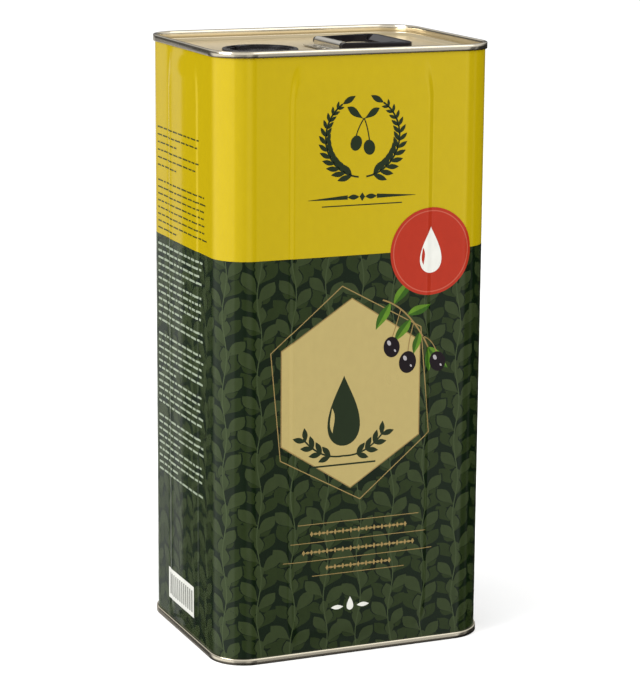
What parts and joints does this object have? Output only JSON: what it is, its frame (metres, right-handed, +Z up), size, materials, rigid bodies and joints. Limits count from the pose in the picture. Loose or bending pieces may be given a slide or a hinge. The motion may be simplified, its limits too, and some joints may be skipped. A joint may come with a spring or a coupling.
{
  "type": "oil tin with pull-up spout",
  "caption": "Tall rectangular tinplate oil tin with rounded corners, seamed ends, a pull-up screw-capped spout and a folding carrying handle.",
  "frame": {"origin": "centre of the tin's footprint, on the surface that it stands on", "axes": "+Z up, -Y out of the printed front, +X to the right of someone who faces the front"},
  "size_m": [0.151, 0.117, 0.315],
  "materials": {
    "printed_tin": "printed and varnished",
    "bare_tin": "lacquered tinplate",
    "bracket_tin": "bright tinplate",
    "seam_compound": "matt",
    "gasket_rubber": "matt",
    "black_plastic": "satin gloss",
    "handle_plastic": "gloss",
    "spout_plastic": "natural polyethylene",
    "liner_foam": "soft foam"
  },
  "bodies": {
    "tin": {"body_wrap": "printed_tin", "top_end": "bare_tin", "bottom_end": "bare_tin", "top_seam_compound": "seam_compound", "bottom_seam_compound": "seam_compound", "handle_bracket": "bracket_tin", "spout_collar": "black_plastic", "spout_gasket": "gasket_rubber", "spout_diaphragm": "spout_plastic"},
    "handle": {"handle": "handle_plastic"},
    "spout_neck": {"spout_neck": "spout_plastic"},
    "seal": {"seal_membrane": "spout_plastic", "tear_ring": "spout_plastic"},
    "liner": {"cap_liner": "liner_foam"},
    "cap": {"spout_cap": "black_plastic"},
    "bail": {"cap_bail": "black_plastic"}
  },
  "joints": [
    {"name": "handle_pivot", "type": "hinge", "parent": "tin", "child": "handle", "pos_m": [0.0069, 0, 0.3116], "axis": [0, -1, 0], "range_deg": [0, 150]},
    {"name": "spout_pull", "type": "slide", "parent": "tin", "child": "spout_neck", "axis": [0, 0, 1], "range_m": [0, 0.022], "deforming": ["spout_diaphragm"]},
    {"name": "seal_pull", "type": "slide", "parent": "spout_neck", "child": "seal", "axis": [0, 0, 1], "range_m": [0, 0.035]},
    {"name": "cap_rise", "type": "slide", "parent": "seal", "child": "liner", "axis": [0, 0, 1], "range_m": [0, 0.006]},
    {"name": "cap_turn", "type": "hinge", "parent": "liner", "child": "cap", "pos_m": [-0.0425, -0.0255, 0.3098], "axis": [0, 0, 1], "range_deg": [0, 720]},
    {"name": "bail_fold", "type": "hinge", "parent": "cap", "child": "bail", "pos_m": [-0.0425, -0.0255, 0.31075], "axis": [0.9511, 0.309, 0], "range_deg": [0, 90]}
  ],
  "couplings": [
    {"joint": "cap_rise", "follows": "cap_turn", "m_per_rad": 0.00047746}
  ]
}
